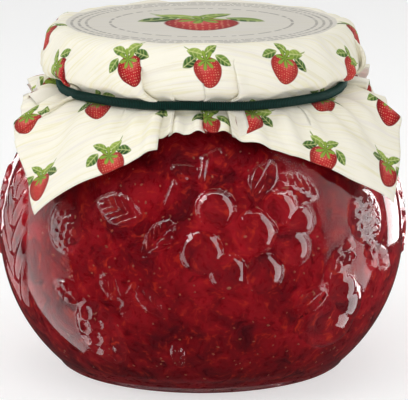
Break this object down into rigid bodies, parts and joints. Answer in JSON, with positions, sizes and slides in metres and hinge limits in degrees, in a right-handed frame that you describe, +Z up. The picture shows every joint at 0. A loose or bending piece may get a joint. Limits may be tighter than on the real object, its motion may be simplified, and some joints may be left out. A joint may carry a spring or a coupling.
{
  "type": "jam jar",
  "caption": "Squat round glass jam jar with raised fruit relief, filled with jam, closed by a lid under a square printed cloth held by an elastic cord.",
  "frame": {"origin": "centre of the flat base, on the surface the jar stands on", "axes": "+Z up along the axis of the jar, -Y towards the front of the jar, +X to the right seen from the front"},
  "size_m": [0.112, 0.1164, 0.0956],
  "materials": {
    "clear_glass": "clear pressed soda-lime glass, fire polished",
    "red_jam": "wet dark red fruit jam with small pale seeds",
    "lacquered_tin": "lacquered tinplate",
    "printed_cotton": "thin cream cloth with a repeat of red fruits and green leaves",
    "green_cord": "dark green woven elastic cord"
  },
  "bodies": {
    "root": {"glass_jar": "clear_glass", "jam": "red_jam", "lid": "lacquered_tin", "cover": "printed_cotton", "elastic": "green_cord"}
  },
  "joints": []
}
